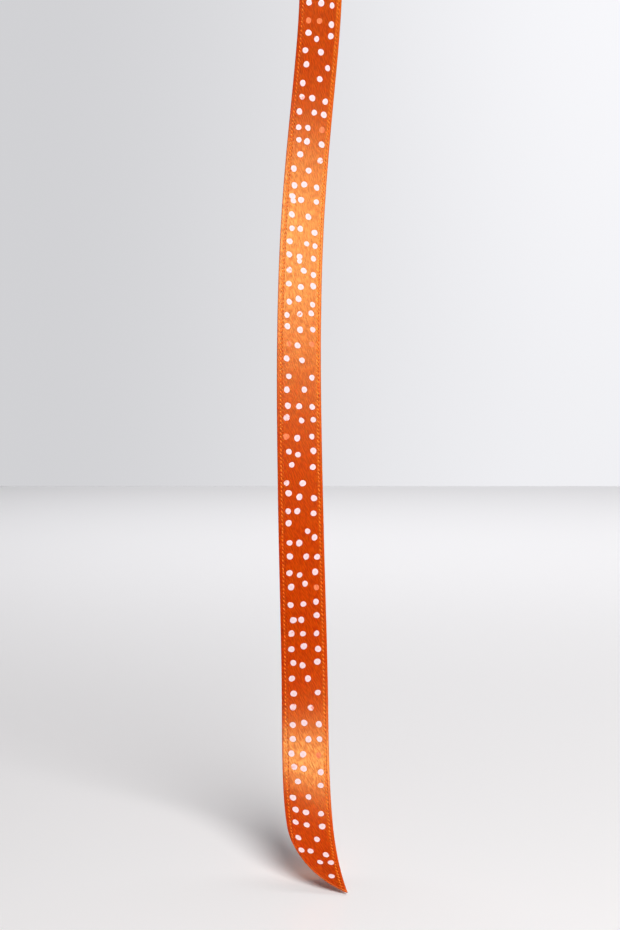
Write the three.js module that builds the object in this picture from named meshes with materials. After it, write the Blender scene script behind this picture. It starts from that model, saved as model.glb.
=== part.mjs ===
// A length of narrow printed satin ribbon, hanging by its top edge, with a slanted cut at its foot.
// Millimetres, +Z up. The origin is the middle of the top edge. The printed face looks towards -Y,
// and +X is towards the selvedge on the right as that face is seen.
import * as THREE from "three";

const RIBBON_WIDTH = 10;
const RIBBON_LENGTH = 205; // down the right selvedge, to the tip of the slanted cut
const CLOTH_THICKNESS = 1;

// The slanted cut leaves the left selvedge here, and bows a little outwards on its way to the tip.
const CUT_START = 186;
const CUT_BOW = 0.44; // a power of the share of the width: 1 would be a straight cut

const PATH_STEP = 0.5;
const ROW_LENGTH = 2.05;
const COLUMNS = 8;
const FAN_LENGTH = 8; // above the cut, where the rows start to slope towards it

// How the cloth hangs, a row for each bend. "at" is the length from the top edge. The angles are in
// degrees: the face leans back by "lean", the foot of the stretch drifts to the right by "drift", the
// cloth turns about its own length by "turn", and its selvedges lift towards the face by "cup".
const HANG = [
  { at: 0, lean: -8, drift: -0.3, turn: -24, cup: -4 },
  { at: 20, lean: -7, drift: -5.3, turn: -24, cup: -5 },
  { at: 40, lean: 7, drift: -5, turn: -23, cup: -5 },
  { at: 60, lean: 17, drift: -2.5, turn: -22, cup: -4 },
  { at: 80, lean: 13, drift: -0.6, turn: -21, cup: -3 },
  { at: 100, lean: 7, drift: 0.7, turn: -19, cup: -3 },
  { at: 118, lean: 2, drift: 1.1, turn: -16, cup: -3 },
  { at: 135, lean: -1, drift: 1.4, turn: -13, cup: -4 },
  { at: 150, lean: 3, drift: 1.1, turn: -8, cup: -4 },
  { at: 165, lean: 20, drift: 0.6, turn: -4, cup: -3 },
  { at: 178, lean: 41, drift: 2.4, turn: -8, cup: 5 },
  { at: 190, lean: 57, drift: 6.1, turn: -16, cup: 11 },
  { at: RIBBON_LENGTH, lean: 71, drift: 13.2, turn: -18, cup: 13 },
];

const radians = THREE.MathUtils.degToRad;

// The slope of a column of the table at one of its rows, from the rows on either side.
function slopeAt(row, column) {
  const before = HANG[Math.max(row - 1, 0)];
  const after = HANG[Math.min(row + 1, HANG.length - 1)];
  return (after[column] - before[column]) / (after.at - before.at);
}

// A column of the table at any length, on a smooth curve through its rows.
function hangAt(column, length) {
  let row = 0;
  while (row < HANG.length - 2 && HANG[row + 1].at <= length) row += 1;
  const span = HANG[row + 1].at - HANG[row].at;
  const t = (length - HANG[row].at) / span;
  const ease = t * t * (3 - 2 * t);
  return (
    THREE.MathUtils.lerp(HANG[row][column], HANG[row + 1][column], ease) +
    slopeAt(row, column) * span * t * (1 - t) * (1 - t) -
    slopeAt(row + 1, column) * span * t * t * (1 - t)
  );
}

// The directions of the cloth at a length: along it, across it to the right, and out of its face.
function directionsAt(length) {
  const lean = radians(hangAt("lean", length));
  const drift = radians(hangAt("drift", length));
  const turn = radians(hangAt("turn", length));
  const along = new THREE.Vector3(
    Math.sin(drift),
    -Math.sin(lean) * Math.cos(drift),
    -Math.cos(lean) * Math.cos(drift),
  );
  const across = new THREE.Vector3(1, 0, 0).addScaledVector(along, -along.x).normalize();
  across.applyAxisAngle(along, turn);
  return { along, across, face: along.clone().cross(across) };
}

// The middle line of the ribbon, as a polyline whose pieces have equal length.
function middleLine() {
  const points = [new THREE.Vector3()];
  const steps = Math.round(RIBBON_LENGTH / PATH_STEP);
  for (let step = 0; step < steps; step += 1) {
    const { along } = directionsAt((step + 0.5) * PATH_STEP);
    points.push(points[step].clone().addScaledVector(along, PATH_STEP));
  }
  return points;
}

const MIDDLE_LINE = middleLine();

function middleAt(length) {
  const place = THREE.MathUtils.clamp(length / PATH_STEP, 0, MIDDLE_LINE.length - 1);
  const step = Math.min(Math.floor(place), MIDDLE_LINE.length - 2);
  return MIDDLE_LINE[step].clone().lerp(MIDDLE_LINE[step + 1], place - step);
}

// Where a point of the flat ribbon goes: its length from the top edge, its distance to the right of
// the middle, and its height over the middle of the cloth's thickness. The cross-section is an arc.
function hungPoint(length, side, height) {
  const { across, face } = directionsAt(length);
  const bend = (2 * radians(hangAt("cup", length))) / RIBBON_WIDTH;
  const angle = side * bend;
  const sideways = bend === 0 ? side : Math.sin(angle) / bend;
  const outwards = bend === 0 ? 0 : (1 - Math.cos(angle)) / bend;
  return middleAt(length)
    .addScaledVector(across, sideways - Math.sin(angle) * height)
    .addScaledVector(face, outwards + Math.cos(angle) * height);
}

// The length at which the slanted cut ends the cloth, at a share of the width from the left.
function cutAt(share) {
  return CUT_START + (RIBBON_LENGTH - CUT_START) * share ** CUT_BOW;
}

// Rows are level down to just above the cut, and fan out from there to meet it.
function lengthInRow(rowLength, share) {
  const fanStart = CUT_START - FAN_LENGTH;
  if (rowLength <= fanStart) return rowLength;
  const t = (rowLength - fanStart) / (RIBBON_LENGTH - fanStart);
  return THREE.MathUtils.lerp(fanStart, cutAt(share), t);
}

// A flat strip of cloth, each of whose points is then moved to where it hangs.
function ribbonGeometry() {
  const rows = Math.round(RIBBON_LENGTH / ROW_LENGTH);
  const strip = new THREE.BoxGeometry(
    RIBBON_WIDTH,
    RIBBON_LENGTH,
    CLOTH_THICKNESS,
    COLUMNS,
    rows,
    1,
  );
  const position = strip.getAttribute("position");
  for (let i = 0; i < position.count; i += 1) {
    const side = position.getX(i);
    const rowLength = RIBBON_LENGTH / 2 - position.getY(i);
    const length = lengthInRow(rowLength, side / RIBBON_WIDTH + 0.5);
    const { x, y, z } = hungPoint(length, side, position.getZ(i));
    position.setXYZ(i, x, y, z);
  }
  strip.computeVertexNormals();
  return strip;
}

const satin = new THREE.MeshStandardMaterial({
  color: 0xe2600f,
  roughness: 0.42,
  metalness: 0,
});

const ribbon = new THREE.Mesh(ribbonGeometry(), satin);
ribbon.name = "ribbon";

const hangingRibbon = new THREE.Group();
hangingRibbon.add(ribbon);

export default hangingRibbon;
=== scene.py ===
# %% [markdown]
# # A hanging length of printed satin ribbon
#
# The real thing is a narrow woven ribbon, 10 mm wide, in glossy orange satin with small white dots
# printed on its face. It hangs by its top edge, turns a little about its own length, and comes
# forward at the foot, where a slanted cut leaves a long tip. This notebook makes four pieces: the
# cloth, the row of stitches along each selvedge, and the printed dots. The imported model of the
# ribbon is loaded first, because everything here has to stay where that model says.

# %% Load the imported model
import functools
import math
import random

import bmesh
import bpy
from mathutils import Matrix, Vector, noise


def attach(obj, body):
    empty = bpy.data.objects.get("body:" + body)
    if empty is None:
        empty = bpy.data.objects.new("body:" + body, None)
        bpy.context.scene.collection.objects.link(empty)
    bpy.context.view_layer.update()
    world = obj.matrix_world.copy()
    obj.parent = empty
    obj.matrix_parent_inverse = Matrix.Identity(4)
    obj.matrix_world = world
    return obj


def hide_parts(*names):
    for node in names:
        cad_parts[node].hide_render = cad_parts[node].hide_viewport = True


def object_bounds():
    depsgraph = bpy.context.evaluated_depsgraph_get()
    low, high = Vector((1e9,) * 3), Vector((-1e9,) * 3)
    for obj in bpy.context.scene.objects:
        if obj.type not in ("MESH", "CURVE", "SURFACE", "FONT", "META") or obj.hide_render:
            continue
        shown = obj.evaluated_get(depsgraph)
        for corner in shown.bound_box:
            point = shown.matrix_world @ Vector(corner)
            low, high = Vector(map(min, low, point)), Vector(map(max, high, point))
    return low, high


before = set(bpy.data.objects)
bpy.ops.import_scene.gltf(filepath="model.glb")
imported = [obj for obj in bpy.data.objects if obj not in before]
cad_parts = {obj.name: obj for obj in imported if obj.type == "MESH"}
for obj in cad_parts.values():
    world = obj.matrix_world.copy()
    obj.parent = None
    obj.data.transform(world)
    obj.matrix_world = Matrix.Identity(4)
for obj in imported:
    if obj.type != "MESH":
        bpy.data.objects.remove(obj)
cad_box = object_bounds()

MM = 0.001  # the shapes are worked out in millimetres, and Blender's unit is the metre

print("nodes in the packed model:", sorted(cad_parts))
print("its box, mm:", [[round(c / MM, 1) for c in corner] for corner in cad_box])

# %% [markdown]
# ## Functions for nodes
#
# The room and the materials are built from the same few kinds of node, so they share the functions
# that add them.

# %% Functions that add nodes
def set_inputs(node, **values):
    """Sets plain values. An underscore stands for the space in an input's name."""
    for name, value in values.items():
        node.inputs[name.replace("_", " ")].default_value = value


def add_node(tree, kind, settings=(), **values):
    """A new node, with its settings and the plain values of its inputs."""
    node = tree.nodes.new(kind)
    for name, value in dict(settings).items():
        setattr(node, name, value)
    set_inputs(node, **values)
    return node


def add_math(tree, operation, first, second=None, third=None):
    """A Math node. Each input is a number, or the socket that feeds it."""
    node = add_node(tree, "ShaderNodeMath", {"operation": operation})
    for socket, value in zip(node.inputs, (first, second, third)):
        if value is None:
            continue
        if isinstance(value, (int, float)):
            socket.default_value = value
        else:
            tree.links.new(value, socket)
    return node.outputs[0]


def add_weighted(tree, *parts):
    """The sum of some values, each given with its weight."""
    total = 0.0
    for value, weight in parts:
        total = add_math(tree, "MULTIPLY_ADD", value, weight, total)
    return total


def add_range(tree, value, low, high, to_low, to_high, curve="LINEAR"):
    """The value, moved from one range to another and kept inside it."""
    node = add_node(tree, "ShaderNodeMapRange", {"interpolation_type": curve})
    tree.links.new(value, node.inputs["Value"])
    for socket, number in zip(node.inputs[1:5], (low, high, to_low, to_high)):
        socket.default_value = number
    return node.outputs["Result"]


def add_mix(tree, factor, first, second):
    """A colour mix. Each input is a plain colour, a number, or the socket that feeds it."""
    node = add_node(tree, "ShaderNodeMix", {"data_type": "RGBA"})
    sockets = (node.inputs[0], node.inputs[6], node.inputs[7])
    for socket, value in zip(sockets, (factor, first, second)):
        if isinstance(value, bpy.types.NodeSocket):
            tree.links.new(value, socket)
        elif isinstance(value, tuple):
            socket.default_value = (*value, 1)
        else:
            socket.default_value = value
    return node.outputs[2]


# %% [markdown]
# ## The camera
#
# The photo was taken from close by, from a little above the middle of the ribbon and pitched
# slightly down. A short distance matters: the foot is nearer to the camera than the top is, so it
# looks wider. The lens is worked out from the picture's height, because Blender measures the
# sensor along the longer side.

# %% Set up the camera
PICTURE_HEIGHT_PX = 930
FOCAL_PX = 1450
SENSOR_MM = 36
CAMERA_PLACE = (-2.55 * MM, -318.5 * MM, -80 * MM)
CAMERA_PITCH = -5  # degrees, so the camera looks slightly down
NEAREST = 0.01

camera_data = bpy.data.cameras.new("camera")
camera_data.sensor_width = SENSOR_MM
camera_data.lens = SENSOR_MM * FOCAL_PX / PICTURE_HEIGHT_PX
camera_data.clip_start = NEAREST
camera = bpy.data.objects.new("camera", camera_data)
camera.location = CAMERA_PLACE
camera.rotation_euler = (math.radians(90 + CAMERA_PITCH), 0, 0)
bpy.context.collection.objects.link(camera)
bpy.context.scene.camera = camera
print("lens, mm:", round(camera_data.lens, 2))

# %% [markdown]
# ## The floor
#
# The tip of the ribbon just touches a white table, whose far edge shows as a faint line behind the
# ribbon. The table is a plain plane. The satin doesn't mirror it, which keeps the orange of the
# lower half deep.

# %% Make the floor
FLOOR_Z = cad_box[0][2]
TABLE_EDGE_Y = 0.747  # from the height of that line in the photo
TABLE_SIZE = (4, 2.4)
TABLE_COLOR = (0.88, 0.875, 0.90)
TABLE_ROUGHNESS = 0.38

table_top = bpy.data.materials.new("pale_table")
table_top.use_nodes = True
shader = table_top.node_tree.nodes["Principled BSDF"]
set_inputs(shader, Base_Color=(*TABLE_COLOR, 1), Roughness=TABLE_ROUGHNESS)

bm = bmesh.new()
bmesh.ops.create_grid(bm, x_segments=1, y_segments=1, size=0.5)
bmesh.ops.scale(bm, vec=(*TABLE_SIZE, 1), verts=bm.verts)
bmesh.ops.translate(bm, vec=(0, TABLE_EDGE_Y - TABLE_SIZE[1] / 2, FLOOR_Z), verts=bm.verts)
mesh = bpy.data.meshes.new("floor")
bm.to_mesh(mesh)
bm.free()
mesh.materials.append(table_top)
floor = bpy.data.objects.new("floor", mesh)
bpy.context.collection.objects.link(floor)
floor.visible_glossy = False
print("floor at z, mm:", round(FLOOR_Z / MM, 2))

# %% [markdown]
# ## The light
#
# Satin shows where the light is. The bright bands across the ribbon lie where it leans back by
# about 17 to 20 degrees, and the soft shadow runs back and to the left from the tip. Both ask for
# one broad lamp in front, to the right and above, at about 40 degrees. The rest is a pale room,
# brighter beyond the ribbon and darker behind the camera. That darker side is what the satin
# mirrors between its bright bands, and it keeps the orange deep there. A wide soft lamp over the
# far part of the table stands for the windows beyond, and lights the ribbon from behind. A very
# small orange one under the foot stands for the light that comes through the satin and warms its
# shadow. Neither is seen by the camera or mirrored. The standard view transform keeps a strong
# orange strong.

# %% Light the scene
KEY_AZIMUTH = math.radians(27)  # to the right of the camera's own line
KEY_REACH = 0.54
KEY_HEIGHT = 0.35
ROOM_COLOR = (0.97, 0.97, 1.0)
ROOM_LEFT, ROOM_RIGHT = 0.66, 0.90  # the wall, as the camera sees it
ROOM_BEHIND_CAMERA = 0.01
ROOM_BEYOND = 0.18
WINDOW = Vector((0.50, 0.80, 0.42)).normalized()
WINDOW_BRIGHTNESS = 0.1

# The cosines at which the brightness changes. 1 is straight towards the place that is named.
WALL_CHANGE = 0.2
BEYOND_START = 0.45
WINDOW_START = 0.80

world = bpy.data.worlds.new("pale_room")
world.use_nodes = True
room = world.node_tree
ray = add_node(room, "ShaderNodeTexCoord").outputs["Generated"]


def brightness(direction, start, end, at_start, at_end):
    """A smooth change, by the cosine of the angle between a ray and that direction."""
    cosine = add_node(room, "ShaderNodeVectorMath", {"operation": "DOT_PRODUCT"})
    cosine.inputs[1].default_value = direction
    room.links.new(ray, cosine.inputs[0])
    return add_range(
        room, cosine.outputs["Value"], start, end, at_start, at_end, curve="SMOOTHSTEP"
    )


wall = brightness((1, 0, 0), -WALL_CHANGE, WALL_CHANGE, ROOM_LEFT, ROOM_RIGHT)
around = brightness((0, 1, 0), BEYOND_START, 1, ROOM_BEHIND_CAMERA, ROOM_BEYOND)
window = brightness(WINDOW, WINDOW_START, 1, 0, WINDOW_BRIGHTNESS)
walls = add_node(room, "ShaderNodeMix")
room.links.new(add_node(room, "ShaderNodeLightPath").outputs["Is Camera Ray"], walls.inputs[0])
room.links.new(around, walls.inputs[2])
room.links.new(wall, walls.inputs[3])
sky = room.nodes["Background"]
set_inputs(sky, Color=(*ROOM_COLOR, 1))
room.links.new(add_math(room, "ADD", walls.outputs[0], window), sky.inputs["Strength"])
bpy.context.scene.world = world


def area_lamp(name, place, aim, size, watts, color, mirrored=True):
    """A flat lamp, unseen by the camera. Its size is its width and its height."""
    data = bpy.data.lights.new(name, "AREA")
    data.shape = "ELLIPSE"
    data.size, data.size_y = size
    data.energy = watts
    data.color = color
    lamp = bpy.data.objects.new(name, data)
    lamp.location = place
    lamp.rotation_euler = (Vector(aim) - Vector(place)).to_track_quat("-Z", "Y").to_euler()
    lamp.visible_camera = False
    lamp.visible_glossy = mirrored
    bpy.context.collection.objects.link(lamp)


area_lamp(
    "key",
    place=(KEY_REACH * math.sin(KEY_AZIMUTH), -KEY_REACH * math.cos(KEY_AZIMUTH), KEY_HEIGHT),
    aim=(0, -0.01, -0.11),
    size=(0.50, 0.50),
    watts=6.9,
    color=(1.0, 0.98, 0.95),
)
area_lamp(
    "far_windows",
    place=(0.12, 0.47, 0.39),
    aim=(0.12, 0.82, -0.22),
    size=(1.2, 0.5),
    watts=5.5,
    color=(1.0, 1.0, 1.0),
    mirrored=False,
)
area_lamp(
    "light_through_the_foot",
    place=(-0.0015, -0.0290, -0.1853),
    aim=(-0.007, -0.022, -0.196),
    size=(0.012, 0.012),
    watts=0.6e-4,
    color=(1.0, 0.30, 0.0),
    mirrored=False,
)

bpy.context.scene.view_settings.view_transform = "Standard"

# %% [markdown]
# ## The ribbon's sizes
#
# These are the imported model's own numbers, in millimetres. That model is a millimetre thick so
# that it can be made as a solid. Real satin ribbon is much thinner, so the cloth here is a thin
# sheet in the middle of that solid.

# %% The sizes of the ribbon
RIBBON_WIDTH = 10
RIBBON_LENGTH = 205
CUT_START = 186  # where the slanted cut leaves the left selvedge
CUT_BOW = 0.44  # a power of the share of the width: 1 would be a straight cut


def cut_at(side):
    """The length at which the cut ends the cloth, at a distance to the right of the middle."""
    share = min(max(side / RIBBON_WIDTH + 0.5, 0), 1)
    return CUT_START + (RIBBON_LENGTH - CUT_START) * share**CUT_BOW


print("cut, mm down each selvedge:", [cut_at(side * RIBBON_WIDTH / 2) for side in (-1, 1)])

# %% [markdown]
# ## Made flat, then hung
#
# A ribbon is woven and printed flat, and only then hung up. The pieces are made the same way here.
# Each one starts flat, with x across the ribbon, y up its length and z out of its face. Then every
# point is moved to where it hangs. One function takes all the pieces, so dots and stitches stay on
# the cloth.
#
# The table says how the cloth hangs, a row for each bend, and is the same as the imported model's.
# "at" is the length from the top edge. The angles are in degrees: the face leans back by "lean",
# the foot of the stretch drifts to the right by "drift", the cloth turns about its own length by
# "turn", and its selvedges lift towards the face by "cup".

# %% How the ribbon hangs
HANG = [
    dict(at=0, lean=-8, drift=-0.3, turn=-24, cup=-4),
    dict(at=20, lean=-7, drift=-5.3, turn=-24, cup=-5),
    dict(at=40, lean=7, drift=-5, turn=-23, cup=-5),
    dict(at=60, lean=17, drift=-2.5, turn=-22, cup=-4),
    dict(at=80, lean=13, drift=-0.6, turn=-21, cup=-3),
    dict(at=100, lean=7, drift=0.7, turn=-19, cup=-3),
    dict(at=118, lean=2, drift=1.1, turn=-16, cup=-3),
    dict(at=135, lean=-1, drift=1.4, turn=-13, cup=-4),
    dict(at=150, lean=3, drift=1.1, turn=-8, cup=-4),
    dict(at=165, lean=20, drift=0.6, turn=-4, cup=-3),
    dict(at=178, lean=41, drift=2.4, turn=-8, cup=5),
    dict(at=190, lean=57, drift=6.1, turn=-16, cup=11),
    dict(at=RIBBON_LENGTH, lean=71, drift=13.2, turn=-18, cup=13),
]
PATH_STEP = 0.5
LEAST_BEND = 1e-6  # the section counts as straight below this


def slope_at(row, column):
    """The slope of a column at one of its rows, from the rows on either side."""
    before = HANG[max(row - 1, 0)]
    after = HANG[min(row + 1, len(HANG) - 1)]
    return (after[column] - before[column]) / (after["at"] - before["at"])


def hang_at(column, length):
    """A column of the table at any length, on a smooth curve through its rows."""
    row = 0
    while row < len(HANG) - 2 and HANG[row + 1]["at"] <= length:
        row += 1
    span = HANG[row + 1]["at"] - HANG[row]["at"]
    t = (length - HANG[row]["at"]) / span
    start, end = HANG[row][column], HANG[row + 1][column]
    return (
        start
        + (end - start) * t * t * (3 - 2 * t)
        + slope_at(row, column) * span * t * (1 - t) ** 2
        - slope_at(row + 1, column) * span * t * t * (1 - t)
    )


def directions_at(length):
    """Unit vectors along the cloth, across it to the right, and out of its face."""
    lean, drift, turn = (math.radians(hang_at(c, length)) for c in ("lean", "drift", "turn"))
    along = Vector(
        (math.sin(drift), -math.sin(lean) * math.cos(drift), -math.cos(lean) * math.cos(drift))
    )
    across = (Vector((1, 0, 0)) - along * along.x).normalized()
    across.rotate(Matrix.Rotation(turn, 3, along))
    return along, across, along.cross(across)


middle_line = [Vector((0, 0, 0))]
for step in range(round(RIBBON_LENGTH / PATH_STEP)):
    along, _, _ = directions_at((step + 0.5) * PATH_STEP)
    middle_line.append(middle_line[-1] + along * PATH_STEP)


def middle_at(length):
    place = min(max(length / PATH_STEP, 0), len(middle_line) - 1)
    step = min(int(place), len(middle_line) - 2)
    return middle_line[step].lerp(middle_line[step + 1], place - step)


@functools.cache
def section_at(length):
    """The middle, the directions across and out, and the bend of the section's arc."""
    _, across, face = directions_at(length)
    bend = 2 * math.radians(hang_at("cup", length)) / RIBBON_WIDTH
    return middle_at(length), across, face, bend


def hung_point(length, side, height):
    """Where a point of the flat ribbon goes, in millimetres."""
    middle, across, face, bend = section_at(length)
    angle = side * bend
    straight = abs(bend) < LEAST_BEND
    sideways = side if straight else math.sin(angle) / bend
    outwards = 0 if straight else (1 - math.cos(angle)) / bend
    return (
        middle
        + across * (sideways - math.sin(angle) * height)
        + face * (outwards + math.cos(angle) * height)
    )


tip = hung_point(RIBBON_LENGTH, RIBBON_WIDTH / 2, 0)
print("the tip hangs at, mm:", [round(c, 1) for c in tip])

# %% [markdown]
# ## Slight unevenness
#
# Cloth is never quite true. A slow ripple of a few hundredths of a millimetre is enough to break
# up the edges of the highlights, as on the real satin. It is added to the height of every point.

# %% Hang a flat piece
RIPPLE_HEIGHT = 0.035
RIPPLE_WIDTH = 4.5
RIPPLE_LENGTH = 7
RIPPLE_SLICE = 3.7  # which slice of the solid noise the cloth is laid through


def ripple(side, length):
    place = Vector((side / RIPPLE_WIDTH, length / RIPPLE_LENGTH, RIPPLE_SLICE))
    return RIPPLE_HEIGHT * noise.noise(place)


def hang(bm):
    """Gives the piece its pattern map, in ribbon widths, and moves each point to its place."""
    pattern = bm.loops.layers.uv.get("pattern") or bm.loops.layers.uv.new("pattern")
    for face in bm.faces:
        for corner in face.loops:
            flat = corner.vert.co
            corner[pattern].uv = (flat.x / RIBBON_WIDTH + 0.5, flat.y / RIBBON_WIDTH)
    for vert in bm.verts:
        side, length, height = vert.co.x, -vert.co.y, vert.co.z
        vert.co = hung_point(length, side, height + ripple(side, length)) * MM


def finished_piece(name, bm, materials):
    """The object of a hung piece: smooth, at the origin, on the body."""
    mesh = bpy.data.meshes.new(name)
    bm.to_mesh(mesh)
    bm.free()
    for material in materials:
        mesh.materials.append(material)
    mesh.shade_smooth()
    piece = bpy.data.objects.new(name, mesh)
    bpy.context.collection.objects.link(piece)
    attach(piece, "root")
    triangles = sum(len(face.vertices) - 2 for face in mesh.polygons)
    print(f"{name}: {triangles} triangles")
    return piece


# %% [markdown]
# ## The materials' shared parts
#
# Satin is woven so that long threads float over the surface. They catch the light as fine slanting
# streaks. The same streaks show through worn print, so they are a node group, with the pattern map
# as its input. The map is in ribbon widths, so a streak is as long on the foot as at the top.

# %% A group for the satin's streaks
STREAK_ANGLE = math.radians(-22)


def new_group(name, inputs, outputs):
    group = bpy.data.node_groups.new(name, "ShaderNodeTree")
    for socket, kind in inputs:
        group.interface.new_socket(socket, in_out="INPUT", socket_type=kind)
    for socket, kind in outputs:
        group.interface.new_socket(socket, in_out="OUTPUT", socket_type=kind)
    return group, group.nodes.new("NodeGroupInput"), group.nodes.new("NodeGroupOutput")


streaks, streaks_in, streaks_out = new_group(
    "satin_streaks",
    [("Pattern", "NodeSocketVector")],
    [("Shade", "NodeSocketFloat"), ("Height", "NodeSocketFloat")],
)
turned = add_node(streaks, "ShaderNodeMapping", Rotation=(0, 0, STREAK_ANGLE))
streaks.links.new(streaks_in.outputs["Pattern"], turned.inputs["Vector"])


def streak_noise(across, along, detail):
    """Noise drawn out along the streaks. The sizes are how many fit in a ribbon's width."""
    stretched = add_node(streaks, "ShaderNodeVectorMath", {"operation": "MULTIPLY"})
    stretched.inputs[1].default_value = (across, along, 1)
    streaks.links.new(turned.outputs["Vector"], stretched.inputs[0])
    grain = add_node(streaks, "ShaderNodeTexNoise", Scale=1, Detail=detail, Roughness=0.55)
    streaks.links.new(stretched.outputs["Vector"], grain.inputs["Vector"])
    return grain.outputs["Fac"]


floats = streak_noise(across=42, along=8, detail=0)
threads = streak_noise(across=80, along=16, detail=1)
clouds = streak_noise(across=3, along=1.2, detail=2)
shade = add_weighted(streaks, (threads, 0.2), (floats, 0.72), (clouds, 0.08))
height = add_weighted(streaks, (threads, 0.3), (floats, 0.7))
streaks.links.new(shade, streaks_out.inputs["Shade"])
streaks.links.new(height, streaks_out.inputs["Height"])

# %% [markdown]
# Beside each stitch of the selvedge the cloth has a small hole, where the thread goes in. Its
# darkness is painted shade: the hole is coloured dark, as well as dented. The second group gives a
# mask of those holes: a line down each selvedge, broken at the stitches' pitch.

# %% A group for the holes beside the stitches
STITCH_PITCH = 0.87
HOLE_LINES = (0.125, 0.937)  # their places across the ribbon, as shares of its width
HOLE_SLANT = 0.6
HOLE_SHARPNESS = 70  # a hole fades out within one part in this of the width

holes, holes_in, holes_out = new_group(
    "stitch_holes", [("Pattern", "NodeSocketVector")], [("Mask", "NodeSocketFloat")]
)
parts = add_node(holes, "ShaderNodeSeparateXYZ")
holes.links.new(holes_in.outputs["Pattern"], parts.inputs[0])
across, down = parts.outputs["X"], parts.outputs["Y"]
slanted = add_math(holes, "MULTIPLY_ADD", across, HOLE_SLANT, down)
turns = add_math(holes, "MULTIPLY", slanted, 2 * math.pi * RIBBON_WIDTH / STITCH_PITCH)
beat = add_math(holes, "MULTIPLY_ADD", add_math(holes, "SINE", turns), 0.5, 0.5)
lines = 0.0
for hole_line in HOLE_LINES:
    away = add_math(holes, "ABSOLUTE", add_math(holes, "SUBTRACT", across, hole_line))
    line = add_math(holes, "SUBTRACT", 1, add_math(holes, "MULTIPLY", away, HOLE_SHARPNESS))
    lines = add_math(holes, "ADD", add_math(holes, "MAXIMUM", line, 0), lines)
holes.links.new(add_math(holes, "MULTIPLY", lines, beat), holes_out.inputs["Mask"])

# %% [markdown]
# ## Satin, its back, and the selvedge thread
#
# The face of satin shines in one direction. Its threads run down the ribbon, so light is spread
# across the width and stays narrow along the length. That is an anisotropic highlight whose
# tangent runs across the ribbon, taken from the pattern map. The shine on dyed thread is itself
# tinted, so the specular tint is a warm one, and the dark parts stay a deep orange. Thin cloth
# also lets light through, which subsurface scattering gives, so the ribbon glows where the wall
# behind it is bright. The band outside the right stitches has a painted highlight: its colour is
# made lighter, most of all near the top, for the lamp's light that falls on that selvedge.

# %% The satin of the face
SATIN_DEEP = (0.37, 0.027, 0.0001)
SATIN_LIGHT = (0.56, 0.054, 0.0004)
SATIN_ROUGHNESS = (0.575, 0.43)  # in the deep streaks, and in the light ones
SATIN_BUMP = 0.045
SATIN_TINT = (1.0, 0.78, 0.25)
THREAD_IOR = 1.75
GLOW = dict(Subsurface_Weight=1.0, Subsurface_Radius=(1.0, 0.35, 0.1), Subsurface_Scale=2 * MM)

# The right band's painted highlight: a lighter colour for the lamp's light on that selvedge.
BAND_PAINTED_HIGHLIGHT = (0.72, 0.105, 0.003)
BAND_START = (0.865, 0.885)  # in ribbon widths, from the left selvedge
BAND_TOP, BAND_FOOT = 0.9, 0.35  # how much of the lighter colour it has
BAND_CHANGE = 14  # it gets less over this many ribbon widths, from the top down

# Painted shade: the holes are coloured dark for the shade inside them. They are also dented and
# made rougher.
HOLE_PAINTED_SHADE = (0.24, 0.008, 0.0)
HOLE_STRENGTH = 0.8
HOLE_ROUGHNESS = 0.4  # what a hole adds
HOLE_DEPTH = 1.5  # in heights of the streaks


def pattern_map(tree):
    return add_node(tree, "ShaderNodeUVMap", {"uv_map": "pattern"}).outputs["UV"]


def add_group(tree, group):
    """The outputs of a node of that group, which is fed with the pattern map."""
    node = add_node(tree, "ShaderNodeGroup", {"node_tree": group})
    tree.links.new(pattern_map(tree), node.inputs["Pattern"])
    return list(node.outputs)


def by_streak(tree, shade, spread, deep, light):
    """A value that changes while the shade of the streaks is within that spread of a half."""
    return add_range(tree, shade, 0.5 - spread, 0.5 + spread, deep, light)


def streaked(tree, shade, spread, deep, light):
    """A colour that changes with the streaks in the same way."""
    return add_mix(tree, by_streak(tree, shade, spread, 0, 1), deep, light)


def new_material(name):
    material = bpy.data.materials.new(name)
    material.use_nodes = True
    return material, material.node_tree, material.node_tree.nodes["Principled BSDF"]


def feed(tree, shader, color, roughness, height, bump):
    """Links what changes over the surface. The bump is the height's full range, in millimetres."""
    normal = add_node(tree, "ShaderNodeBump", Strength=1.0, Distance=bump * MM)
    tree.links.new(height, normal.inputs["Height"])
    tree.links.new(color, shader.inputs["Base Color"])
    tree.links.new(roughness, shader.inputs["Roughness"])
    tree.links.new(normal.outputs["Normal"], shader.inputs["Normal"])


satin, tree, shader = new_material("printed_satin_face")
shade, height = add_group(tree, streaks)
(hole,) = add_group(tree, holes)
hole = add_math(tree, "MULTIPLY", hole, HOLE_STRENGTH)
place = add_node(tree, "ShaderNodeSeparateXYZ")
tree.links.new(pattern_map(tree), place.inputs[0])
right_band = add_range(tree, place.outputs["X"], *BAND_START, 0, 1)
towards_top = add_range(tree, place.outputs["Y"], -BAND_CHANGE, 0, BAND_FOOT, BAND_TOP)
band = add_math(tree, "MULTIPLY", right_band, towards_top)
face_color = streaked(tree, shade, 0.12, SATIN_DEEP, SATIN_LIGHT)
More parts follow.
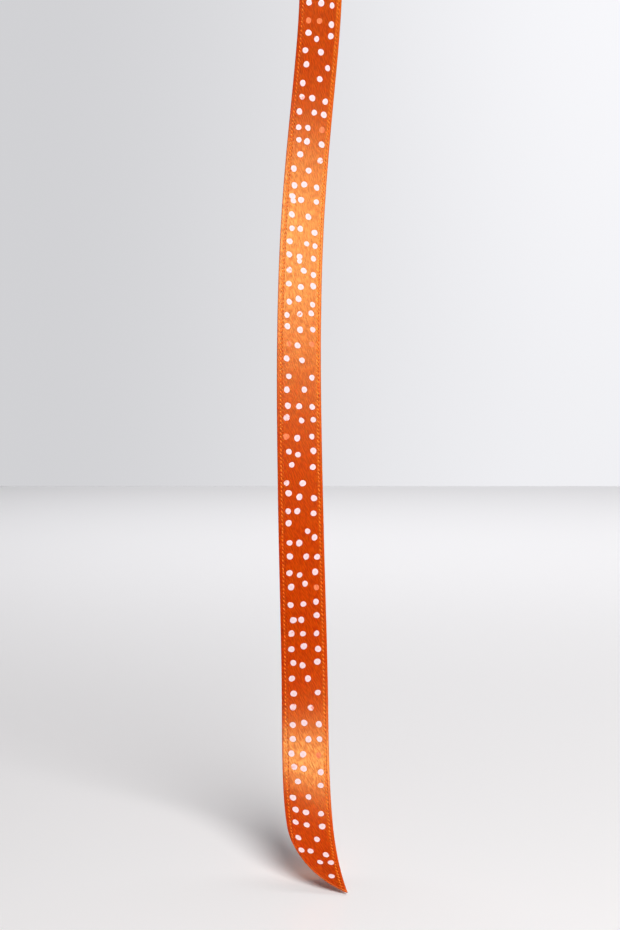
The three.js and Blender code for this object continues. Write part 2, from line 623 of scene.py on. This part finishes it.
# Painted highlight: the right band gets the lighter colour, more of it towards the top.
face_color = add_mix(tree, band, face_color, BAND_PAINTED_HIGHLIGHT)
sheen = by_streak(tree, shade, 0.10, *SATIN_ROUGHNESS)
feed(
    tree,
    shader,
    color=add_mix(tree, hole, face_color, HOLE_PAINTED_SHADE),
    roughness=add_math(tree, "MULTIPLY_ADD", hole, HOLE_ROUGHNESS, sheen),
    height=add_math(tree, "MULTIPLY_ADD", hole, -HOLE_DEPTH, height),
    bump=SATIN_BUMP,
)
tangent = add_node(tree, "ShaderNodeTangent", {"direction_type": "UV_MAP", "uv_map": "pattern"})
tree.links.new(tangent.outputs["Tangent"], shader.inputs["Tangent"])
set_inputs(shader, Anisotropic=0.76, IOR=THREAD_IOR, Specular_IOR_Level=0.92, **GLOW)
set_inputs(shader, Specular_Tint=(*SATIN_TINT, 1))

# %% The dull back, and the thread of the selvedges
BACK_DEEP = (0.42, 0.050, 0.0006)
BACK_LIGHT = (0.58, 0.095, 0.0025)
BACK_ROUGHNESS = (0.72, 0.62)
BACK_BUMP = 0.03
# The thread is lighter than the satin. This is partly its own colour and partly a painted
# highlight for the glint that each small stitch catches.
THREAD_DEEP = (0.76, 0.105, 0.002)
THREAD_LIGHT = (0.94, 0.200, 0.010)
THREAD_ROUGHNESS = (0.42, 0.34)
THREAD_BUMP = 0.02

back, tree, shader = new_material("satin_back")
shade, height = add_group(tree, streaks)
color = streaked(tree, shade, 0.12, BACK_DEEP, BACK_LIGHT)
feed(tree, shader, color, by_streak(tree, shade, 0.15, *BACK_ROUGHNESS), height, BACK_BUMP)
set_inputs(shader, Specular_IOR_Level=0.4, Specular_Tint=(*SATIN_TINT, 1), **GLOW)

thread, tree, shader = new_material("selvedge_thread")
shade, height = add_group(tree, streaks)
color = streaked(tree, shade, 0.15, THREAD_DEEP, THREAD_LIGHT)
feed(tree, shader, color, by_streak(tree, shade, 0.15, *THREAD_ROUGHNESS), height, THREAD_BUMP)
set_inputs(shader, IOR=THREAD_IOR, Specular_IOR_Level=0.8, Specular_Tint=(*SATIN_TINT, 1))

# %% [markdown]
# ## The cloth
#
# The cloth is one long grid. Its columns are close together in the selvedges, where it is thicker
# and has a groove beside the stitches. Its rows are level down to just above the cut, and fan out
# from there to meet it. The grid gets its back from bmesh's own solidify, and then each half is
# moved to the height that the cross-section gives.

# %% Make the cloth
ROWS = 410
FAN_LENGTH = 8  # above the cut, where the rows start to slope towards it
BODY_HALF = 0.10
LEAST_HALF = 0.03
SWELL_HEIGHT, SWELL_SIDE, SWELL_SPREAD = 0.07, 4.5, 0.38
EDGE_START, EDGE_WIDTH = 4.7, 0.3  # where the selvedge closes
EDGE_SHARE = 0.25  # what is left of the thickness at its very edge
GROOVE_DEPTH, GROOVE_SPREAD = 0.05, 0.1
GROOVE_SIDES = (-3.8, 4.35)

close = [i / 10 for i in range(-50, -35)]
COLUMN_SIDES = close + [i / 2 for i in range(-7, 8)] + [-side for side in reversed(close)]


def bell(distance, spread):
    return math.exp(-((distance / spread) ** 2))


def half_thickness(side):
    """Half the thickness: thin in the body, fuller in the selvedge, and closing at its edge."""
    out = abs(side)
    swell = SWELL_HEIGHT * bell(out - SWELL_SIDE, SWELL_SPREAD)
    closing = math.sqrt(max(0, 1 - max(0, (out - EDGE_START) / EDGE_WIDTH) ** 2))
    return max(LEAST_HALF, (BODY_HALF + swell) * (EDGE_SHARE + (1 - EDGE_SHARE) * closing))


def groove(side):
    """The dent beside each row of stitches, on the face."""
    return GROOVE_DEPTH * sum(bell(side - at, GROOVE_SPREAD) for at in GROOVE_SIDES)


def face_height(side):
    return half_thickness(side) - groove(side)


def length_in_row(row_length, side):
    """Where a point of a row lies along the ribbon, once the row slopes to meet the cut."""
    fan_start = CUT_START - FAN_LENGTH
    if row_length <= fan_start:
        return row_length
    t = (row_length - fan_start) / (RIBBON_LENGTH - fan_start)
    return fan_start + (cut_at(side) - fan_start) * t


bm = bmesh.new()
columns = len(COLUMN_SIDES) - 1
bmesh.ops.create_grid(bm, x_segments=columns, y_segments=ROWS, size=1)
bmesh.ops.solidify(bm, geom=bm.faces[:], thickness=0.2)
level = [min(v.co.z for v in bm.verts), max(v.co.z for v in bm.verts)]
for vert in bm.verts:
    side = COLUMN_SIDES[round((vert.co.x + 1) / 2 * columns)]
    row_length = round((1 - vert.co.y) / 2 * ROWS) / ROWS * RIBBON_LENGTH
    on_face = vert.co.z > sum(level) / 2
    height = face_height(side) if on_face else -half_thickness(side)
    vert.co = (side, -length_in_row(row_length, side), height)
bmesh.ops.recalc_face_normals(bm, faces=bm.faces[:])
for face in bm.faces:
    face.material_index = 1 if face.normal.z < -0.5 else 0
hang(bm)
cloth = finished_piece("ribbon_cloth", bm, [satin, back])

# %% [markdown]
# ## The stitches of the selvedges
#
# Beside each selvedge runs a row of small slanting stitches, where the weft turns round. They
# stand up like grains of rice, a little less than a millimetre apart. Each is a low ball with few
# faces, drawn out, turned and set half into the cloth.

# %% Make the stitches
STITCH_STOP = 0.5  # the cloth left bare above the cut
STITCH_NUDGE = (0.015, 0.03)
STITCH_PLUMP = (0.9, 1.15)


def repeated(bm, count, step):
    """The same bmesh, with its shape repeated by an Array modifier down the flat ribbon."""
    mesh = bpy.data.meshes.new("one")
    bm.to_mesh(mesh)
    one = bpy.data.objects.new("one", mesh)
    bpy.context.collection.objects.link(one)
    array = one.modifiers.new("down the ribbon", "ARRAY")
    array.count = count
    array.use_relative_offset = False
    array.use_constant_offset = True
    array.constant_offset_displace = (0, -step, 0)
    finished = one.evaluated_get(bpy.context.evaluated_depsgraph_get())
    row = bpy.data.meshes.new_from_object(finished)
    bm.clear()
    bm.from_mesh(row)
    bpy.data.objects.remove(one)
    bpy.data.meshes.remove(mesh)
    bpy.data.meshes.remove(row)


def stitch_row(name, side, size, slant):
    """A row of stitches down the ribbon at that distance to the right of its middle."""
    bm = bmesh.new()
    shape = Matrix.Rotation(math.radians(slant), 4, "Z") @ Matrix.Diagonal((*size, 1))
    bmesh.ops.create_uvsphere(bm, u_segments=8, v_segments=6, radius=0.5, matrix=shape)
    grain = len(bm.verts)
    repeated(bm, int((cut_at(side) - STITCH_STOP) / STITCH_PITCH), STITCH_PITCH)
    rng = random.Random(name)
    for index, vert in enumerate(bm.verts):
        if index % grain == 0:
            nudge = Vector((*(rng.gauss(0, most) for most in STITCH_NUDGE), 0))
            plump = rng.uniform(*STITCH_PLUMP)
        vert.co.z = vert.co.z * plump + half_thickness(side) - groove(side)
        vert.co += nudge + Vector((side, -STITCH_PITCH / 2, 0))
    hang(bm)
    return finished_piece(name, bm, [thread])


left_stitches = stitch_row(
    "left_selvedge_stitches", side=-4.22, size=(0.30, 0.68, 0.18), slant=28
)
right_stitches = stitch_row(
    "right_selvedge_stitches", side=4.1, size=(0.30, 0.76, 0.18), slant=36
)

# %% [markdown]
# ## The printed dots
#
# The dots are white ink, laid on the face in rows a little over 3 mm apart. Two streams of dots
# run down near the selvedges and a third wanders between them. The chart is a short repeat, and
# the printing is uneven: a few dots are faint, half worn off or doubled. A dot is a low disc of
# three rings, so it bends with the ribbon, and its edge goes into the cloth.

# %% Chart the dots
ROW_PITCH = 3.25
FIRST_ROW = 0.62  # how far down it lies, in row pitches
PRINT_REPEAT = [  # the sides of the dots of a row, in millimetres to the right of the middle
    dict(left=-2.8, middle=0.0, right=2.8),
    dict(left=-2.4, middle=-0.4, right=2.8),
    dict(left=-2.8, middle=-0.1, right=2.7),
    dict(left=-2.8, middle=0.0, right=2.9),
    dict(left=-2.4, middle=-0.4, right=2.8),
    dict(left=-2.8, middle=0.6),
    dict(left=-2.5, right=2.8),
    dict(left=-2.7, middle=1.1),
    dict(left=-2.6, middle=-0.2, right=2.8),
    dict(left=-2.8, middle=0.5, right=3.0),
    dict(left=-2.9, middle=-0.6, right=2.8),
    dict(left=-2.5, middle=-0.6, right=3.0),
    dict(left=-1.9, right=2.9),
    dict(left=-3.0, middle=0.4),
    dict(left=-2.7, middle=-0.4, right=2.8),
    dict(left=-2.9, middle=-0.7, right=2.7),
    dict(left=-2.8, middle=1.2),
    dict(left=-2.6, middle=-0.5, right=2.7),
    dict(left=-2.7, middle=1.0, right=3.2),
    dict(left=-2.8, middle=-0.6, right=2.9),
    dict(left=-2.7, middle=0.5, right=2.9),
]
SIDE_SHIFT = 0.15
LENGTH_SHIFT = 0.32
DOT_RADIUS = 0.67
RADIUS_RANGE = (0.9, 1.08)
WORN = {0.0: 88, 0.45: 7, 0.85: 5}  # how worn a dot is, and how many in a hundred are
DOUBLED = 0.025  # the share of dots that were printed twice, a little apart

rng = random.Random(11)
dots = []
for row in range(int(RIBBON_LENGTH / ROW_PITCH)):
    for stream, side in PRINT_REPEAT[row % len(PRINT_REPEAT)].items():
        dot = dict(
            side=side + rng.uniform(-SIDE_SHIFT, SIDE_SHIFT),
            length=(row + FIRST_ROW) * ROW_PITCH + rng.gauss(0, LENGTH_SHIFT),
            radius=DOT_RADIUS * rng.uniform(*RADIUS_RANGE),
            worn=rng.choices(list(WORN), list(WORN.values()))[0],
        )
        dots.append(dot)
        if rng.random() < DOUBLED:
            angle = rng.uniform(0.9, 2.2)
            apart = rng.uniform(0.8, 1.1)
            dots.append(
                dict(
                    side=dot["side"] + apart * math.cos(angle),
                    length=dot["length"] + apart * math.sin(angle),
                    radius=dot["radius"] * rng.uniform(0.85, 1),
                    worn=0.0,
                )
            )
print(len(dots), "dots")

# %% [markdown]
# Each disc also carries two values for its material. "blot" is the place within the dot, so that
# the ink can be thinner in the middle, and "worn" says how much of the ink has gone. A dot that
# the cut goes through ends just above it, and one that lies below the cut is left out.

# %% Make the dots
DOT_SEGMENTS = 16
OUTER_RING, INNER_RING = 0.15, 0.35  # their widths, in the dot's radius
INK_HEIGHT = 0.02
EDGE_DEPTH = 0.002  # how far a dot's edge goes into the cloth
CUT_GAP = 0.02
BELOW_CUT = 0.2  # how far below the cut the middle of a dot may lie

dots = [dot for dot in dots if dot["length"] < cut_at(dot["side"]) + BELOW_CUT]
bm = bmesh.new()
blot = bm.loops.layers.uv.new("blot")
worn_layer = bm.verts.layers.float.new("worn")
for dot in dots:
    wobble = [rng.uniform(0, 2 * math.pi) for _ in range(2)]
    disc = bmesh.ops.create_circle(bm, cap_ends=True, segments=DOT_SEGMENTS, radius=1)
    (cap,) = disc["verts"][0].link_faces
    inset = dict(faces=[cap], use_boundary=True, use_even_offset=True)
    outer = bmesh.ops.inset_region(bm, thickness=OUTER_RING, **inset)
    inner = bmesh.ops.inset_region(bm, thickness=INNER_RING, **inset)
    centre = bmesh.ops.poke(bm, faces=[cap])
    faces = outer["faces"] + inner["faces"] + centre["faces"]
    verts = {vert for face in faces for vert in face.verts}
    for face in faces:
        for corner in face.loops:
            corner[blot].uv = corner.vert.co.xy
    for vert in verts:
        x, y = vert.co.xy
        on_edge = math.hypot(x, y) > 1 - OUTER_RING / 2
        angle = math.atan2(y, x)
        reach = 1 + 0.05 * math.sin(2 * angle + wobble[0])
        reach += 0.03 * math.sin(3 * angle + wobble[1])
        side = dot["side"] + x * reach * dot["radius"]
        length = dot["length"] - y * reach * dot["radius"]
        length = min(length, cut_at(side) - CUT_GAP)
        lift = -EDGE_DEPTH if on_edge else INK_HEIGHT * (1 - dot["worn"])
        vert.co = (side, -length, face_height(side) + lift)
        vert[worn_layer] = dot["worn"]
hang(bm)

# %% The ink of the dots
INK_WHITE = (0.79, 0.60, 0.635)
INK_THIN = (0.66, 0.37, 0.39)
THIN_MIDDLE = 0.55  # how far out the ink is thinner, in the dot's radius
THIN_MOST = 0.45
INK_GONE_DEEP = (0.72, 0.11, 0.01)
INK_GONE_LIGHT = (0.90, 0.20, 0.04)
INK_GONE_MOST = 0.92
GONE_START, GONE_END = -0.08, 0.12  # how far the wear is above the specks there
INK_ROUGHNESS = (0.7, 0.6)
INK_BUMP = 0.012

ink, tree, shader = new_material("printed_ink")
shade, height = add_group(tree, streaks)
dot_place = add_node(tree, "ShaderNodeUVMap", {"uv_map": "blot"}).outputs["UV"]
distance = add_node(tree, "ShaderNodeVectorMath", {"operation": "LENGTH"})
tree.links.new(dot_place, distance.inputs[0])
thin = add_range(tree, distance.outputs["Value"], 0, THIN_MIDDLE, THIN_MOST, 0)
white = add_mix(tree, thin, INK_WHITE, INK_THIN)
orange = streaked(tree, shade, 0.12, INK_GONE_DEEP, INK_GONE_LIGHT)
specks = add_node(tree, "ShaderNodeTexNoise", Scale=16, Detail=3, Roughness=0.6)
tree.links.new(pattern_map(tree), specks.inputs["Vector"])
worn = add_node(tree, "ShaderNodeAttribute", {"attribute_name": "worn"}).outputs["Fac"]
gone = add_math(tree, "SUBTRACT", worn, specks.outputs["Fac"])
gone = add_range(tree, gone, GONE_START, GONE_END, 0, INK_GONE_MOST)
color = add_mix(tree, gone, white, orange)
feed(tree, shader, color, by_streak(tree, shade, 0.15, *INK_ROUGHNESS), height, INK_BUMP)
set_inputs(shader, Specular_IOR_Level=0.25)
print_dots = finished_piece("printed_dots", bm, [ink])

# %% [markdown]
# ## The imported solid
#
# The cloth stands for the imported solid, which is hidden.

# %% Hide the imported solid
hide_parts("ribbon")
